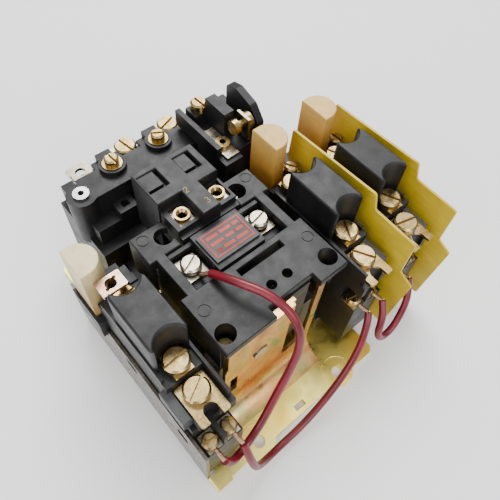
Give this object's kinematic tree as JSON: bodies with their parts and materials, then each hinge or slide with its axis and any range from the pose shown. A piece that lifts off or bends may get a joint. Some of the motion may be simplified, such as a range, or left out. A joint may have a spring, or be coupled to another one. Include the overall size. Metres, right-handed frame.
{
  "type": "magnetic motor starter",
  "caption": "Open panel-mounted magnetic motor starter: a contactor with a covered coil, auxiliary contacts and overload relays with reset posts, on a plated steel plate.",
  "frame": {"origin": "midway between the two lower mounting holes, on the plate's back face", "axes": "+X to the right as mounted on the panel, +Y up towards the line terminals, +Z out of the panel"},
  "size_m": [0.1271, 0.134, 0.0815],
  "materials": {
    "gold_plated_steel": "yellow dichromate plating, glossy",
    "zinc_steel": "zinc plated",
    "laminated_steel": "laminated, oiled",
    "black_phenolic": "moulded, satin",
    "red_print": "printed",
    "nickel": "nickel plated",
    "brass": "worn brass",
    "copper": "copper",
    "spring_steel": "spring wire",
    "white_post": "moulded",
    "amber_post": "moulded, translucent",
    "grey_tile": "moulded",
    "fibre": "varnished fibre sheet",
    "red_insulation": "extruded"
  },
  "bodies": {
    "starter": {"aux_eyelet": "brass", "aux_plates": "nickel", "aux_screws": "brass", "aux_switch": "black_phenolic", "barrier_1": "fibre", "barrier_2": "fibre", "base_plate": "gold_plated_steel", "block_screws": "brass", "coil": "black_phenolic", "coil_cover": "black_phenolic", "coil_label": "red_print", "coil_lead": "red_insulation", "coil_plates": "nickel", "coil_screws": "nickel", "contact_block": "black_phenolic", "corner_rivets": "zinc_steel", "cover_screws": "brass", "cross_lead": "red_insulation", "fixed_contacts": "copper", "frame_rivet": "zinc_steel", "front_block": "black_phenolic", "front_eyelets": "brass", "front_plates": "nickel", "heater_1": "black_phenolic", "heater_2": "black_phenolic", "heater_3": "black_phenolic", "heater_screws": "brass", "heater_strips": "brass", "id_tiles": "grey_tile", "jumper_lead": "red_insulation", "left_bracket": "zinc_steel", "line_screws": "brass", "line_terminals": "nickel", "load_screws": "brass", "load_terminal_1": "brass", "load_terminal_2": "brass", "load_terminal_3": "brass", "magnet_core": "laminated_steel", "magnet_frame": "gold_plated_steel", "relay_body_1": "black_phenolic", "relay_body_2": "black_phenolic", "relay_body_3": "black_phenolic", "reset_spring_1": "spring_steel", "reset_spring_2": "spring_steel", "reset_spring_3": "spring_steel", "return_spring": "spring_steel", "right_bracket": "zinc_steel", "supply_screws": "brass", "supply_tabs": "copper", "trip_plates": "nickel", "trip_screws": "brass", "washers": "brass", "wire_ends": "copper"},
    "armature_group": {"armature": "laminated_steel", "contact_carrier": "black_phenolic", "moving_contacts": "copper", "indicator_tab": "black_phenolic"},
    "reset_rod_1": {"reset_post_1": "white_post"},
    "reset_rod_2": {"reset_post_2": "amber_post"},
    "reset_rod_3": {"reset_post_3": "amber_post"}
  },
  "joints": [
    {"name": "armature_pull_in", "type": "slide", "parent": "starter", "child": "armature_group", "axis": [0, 1, 0], "range_m": [0, 0.005], "stiffness_N_per_m": 500, "springref_m": -0.006, "deforming": ["return_spring"]},
    {"name": "reset_press_1", "type": "slide", "parent": "starter", "child": "reset_rod_1", "axis": [0, 0, -1], "range_m": [0, 0.0035], "stiffness_N_per_m": 300, "springref_m": -0.004, "deforming": ["reset_spring_1"]},
    {"name": "reset_press_2", "type": "slide", "parent": "starter", "child": "reset_rod_2", "axis": [0, 0, -1], "range_m": [0, 0.0035], "stiffness_N_per_m": 300, "springref_m": -0.004, "deforming": ["reset_spring_2"]},
    {"name": "reset_press_3", "type": "slide", "parent": "starter", "child": "reset_rod_3", "axis": [0, 0, -1], "range_m": [0, 0.0035], "stiffness_N_per_m": 300, "springref_m": -0.004, "deforming": ["reset_spring_3"]}
  ]
}
